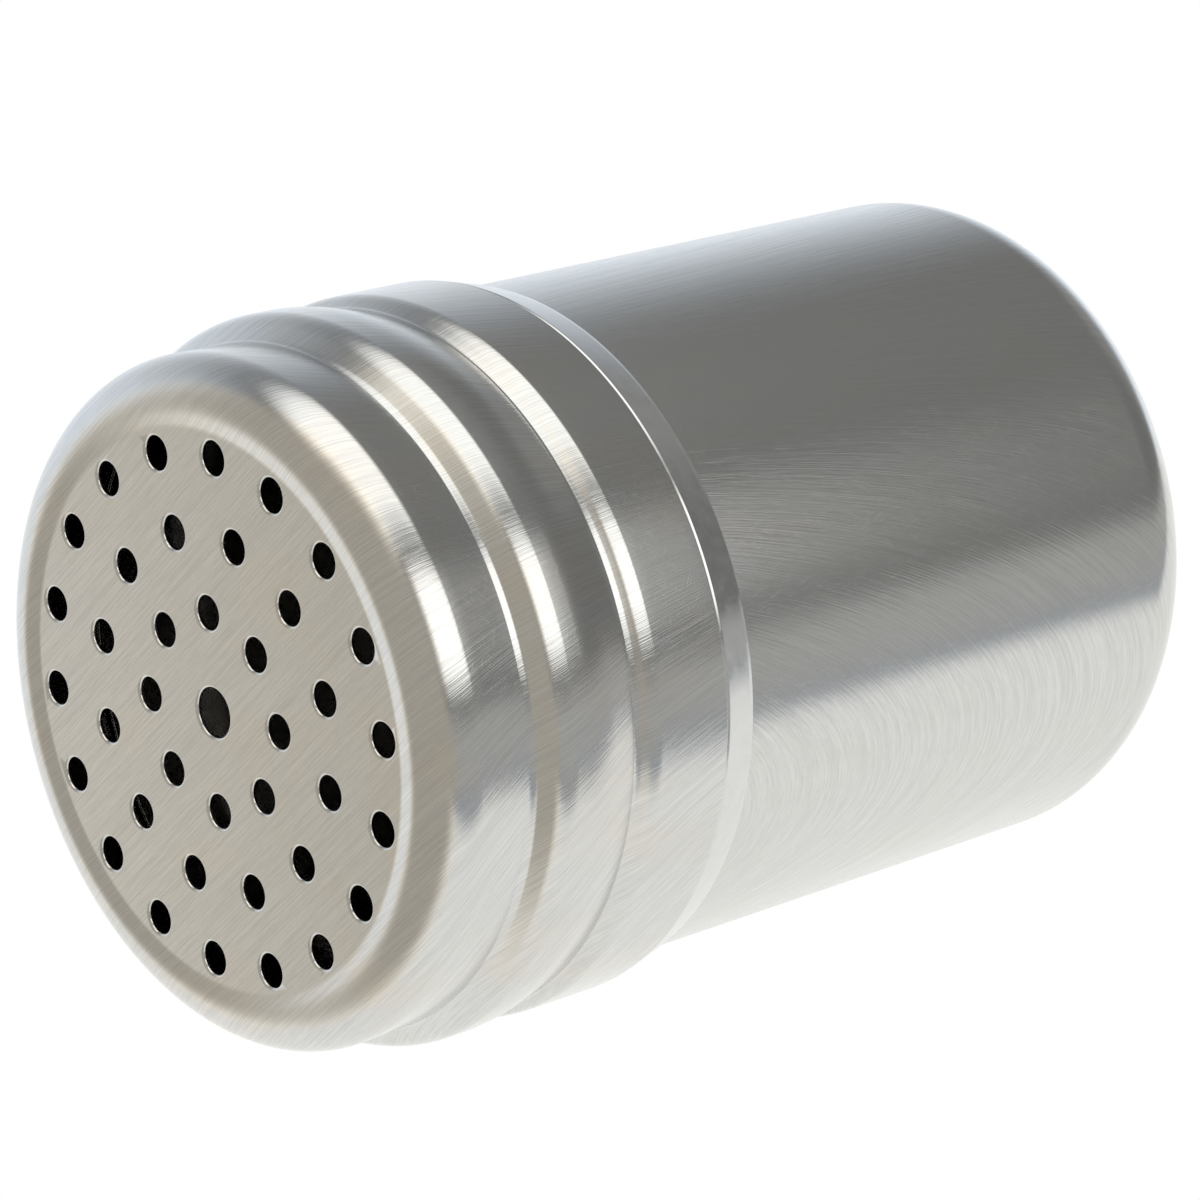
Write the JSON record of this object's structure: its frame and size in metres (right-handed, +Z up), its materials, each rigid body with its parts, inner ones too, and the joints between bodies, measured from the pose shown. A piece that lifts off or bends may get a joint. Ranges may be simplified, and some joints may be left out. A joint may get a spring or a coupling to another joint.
{
  "type": "spice shaker",
  "caption": "Sheet metal spice shaker: a plain drawn cup with rounded base corner and a stepped push-on lid whose dished face is perforated.",
  "frame": {"origin": "centre of the underside, on the surface that the shaker stands on", "axes": "+Z up along the shaker's axis towards the perforated face; +X through the radial line on which every ring of holes has a hole"},
  "size_m": [0.065, 0.065, 0.0935],
  "materials": {
    "cup_steel": "straight grain brushed, satin",
    "lid_steel": "straight grain brushed, satin, burnished hem"
  },
  "bodies": {
    "cup": {"shaker_cup": "cup_steel"},
    "lid": {"perforated_lid": "lid_steel"}
  },
  "joints": [
    {"name": "lid_lift", "type": "slide", "parent": "cup", "child": "lid", "axis": [0, 0, 1], "range_m": [0, 0.03]}
  ]
}
